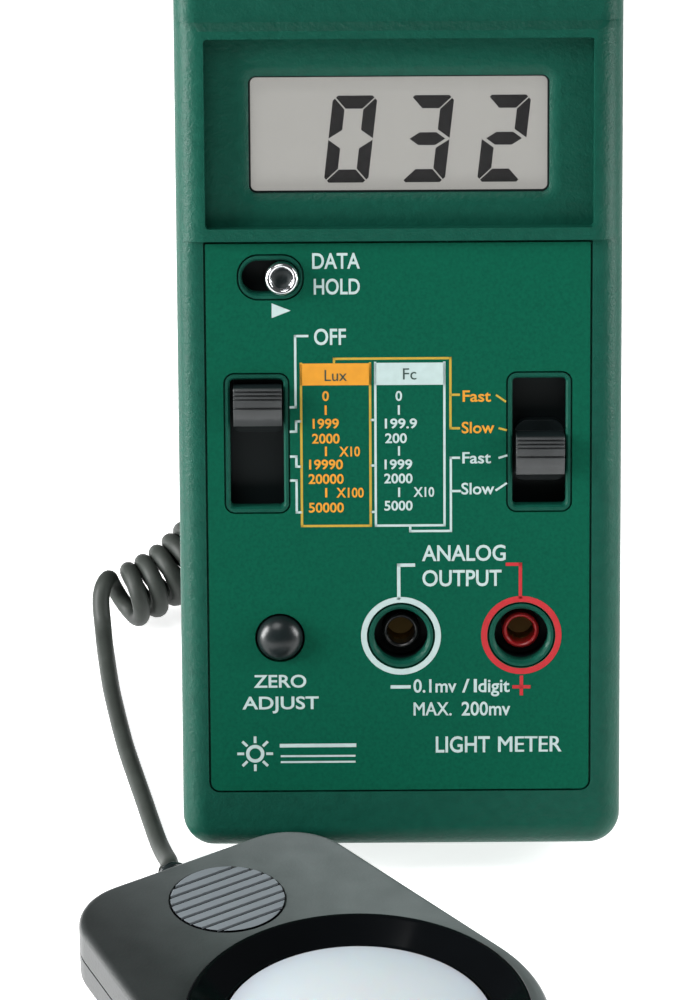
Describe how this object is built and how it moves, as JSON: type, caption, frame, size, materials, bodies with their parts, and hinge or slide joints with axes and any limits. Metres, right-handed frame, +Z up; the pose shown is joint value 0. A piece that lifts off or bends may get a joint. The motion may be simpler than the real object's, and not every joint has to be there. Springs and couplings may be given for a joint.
{
  "type": "light meter",
  "caption": "Hand-held digital light meter on a fold-out stand, with slide switches, output jacks and a flat sensor head on a curly cord.",
  "frame": {"origin": "middle of the footprint of the meter and its sensor head, on the table", "axes": "+Z up; the display faces -Y and up; +X to the right of someone reading the display"},
  "size_m": [0.0807, 0.1804, 0.2125],
  "materials": {
    "case_green": "pine green ABS, fine spark texture",
    "panel_green": "printed pine green overlay, satin",
    "black_plastic": "black moulded plastic",
    "knob_grey": "dark grey ribbed plastic",
    "soft_black": "soft black, satin",
    "jack_black": "black, moulded",
    "jack_red": "red, moulded",
    "gloss_black": "polished black",
    "head_grey": "charcoal ABS, fine texture",
    "strip_grey": "mid grey, ribbed",
    "diffuser_white": "opal white, smooth",
    "lcd_grey": "reflective display, warm grey",
    "clear_window": "clear acrylic",
    "frame_white": "white moulded frame",
    "board_green": "solder mask over glass fibre",
    "steel": "plated steel",
    "chrome": "polished",
    "brass": "plated brass",
    "battery_skin": "printed metal jacket",
    "filter_green": "coloured optical glass",
    "cord_black": "dark grey PVC sheath"
  },
  "bodies": {
    "meter": {"front_shell": "case_green", "rear_shell": "case_green", "front_panel": "panel_green", "cord_gland": "soft_black", "case_screw_1": "steel", "case_screw_2": "steel", "case_screw_3": "steel", "case_screw_4": "steel", "lcd_window": "clear_window", "lcd_glass": "lcd_grey", "lcd_holder": "frame_white", "zebra_strip_lower": "soft_black", "zebra_strip_upper": "soft_black", "main_pcb": "board_green", "adc_chip": "black_plastic", "opamp_chip": "black_plastic", "filter_capacitor": "black_plastic", "battery": "battery_skin", "battery_snap": "soft_black", "range_switch_body": "black_plastic", "unit_switch_body": "black_plastic", "hold_switch_body": "black_plastic", "zero_pot_body": "black_plastic", "jack_negative_insulator": "jack_black", "jack_negative_contact": "brass", "jack_positive_insulator": "jack_red", "jack_positive_contact": "brass", "stand_pin": "steel", "sensor_top_shell": "head_grey", "sensor_bottom_shell": "head_grey", "diffuser_ring": "gloss_black", "diffuser_dome": "diffuser_white", "optical_filter": "filter_green", "photodiode": "black_plastic", "sensor_pcb": "board_green", "thumb_pad": "strip_grey", "sensor_strain_relief": "soft_black", "sensor_screw_1": "steel", "sensor_screw_2": "steel", "sensor_screw_3": "steel", "cord_lead": "cord_black", "cord_coil": "cord_black", "cord_tail": "cord_black"},
    "hold_knob": {"hold_switch_knob": "chrome"},
    "range_knob": {"range_switch_knob": "knob_grey"},
    "unit_knob": {"unit_switch_knob": "knob_grey"},
    "zero_trim": {"zero_knob": "soft_black"},
    "stand": {"tilt_stand": "case_green"},
    "door": {"battery_door": "case_green"}
  },
  "joints": [
    {"name": "hold_slide", "type": "slide", "parent": "meter", "child": "hold_knob", "axis": [1, 0, 0], "range_m": [-0.0032, 0]},
    {"name": "range_slide", "type": "slide", "parent": "meter", "child": "range_knob", "axis": [0, 0.2974, 0.9548], "range_m": [-0.0108, 0]},
    {"name": "unit_slide", "type": "slide", "parent": "meter", "child": "unit_knob", "axis": [0, 0.2974, 0.9548], "range_m": [-0.0039, 0.0078]},
    {"name": "zero_turn", "type": "hinge", "parent": "meter", "child": "zero_trim", "pos_m": [-0.0105, 0.00785, 0.03756], "axis": [0, -0.9548, 0.2974], "range_deg": [-140, 140]},
    {"name": "stand_fold", "type": "hinge", "parent": "meter", "child": "stand", "pos_m": [0.0072, 0.05497, 0.11285], "axis": [1, 0, 0], "range_deg": [-23.5, 0]},
    {"name": "battery_door_slide", "type": "slide", "parent": "meter", "child": "door", "axis": [0, 0.2974, 0.9548], "range_m": [0, 0.055]}
  ]
}
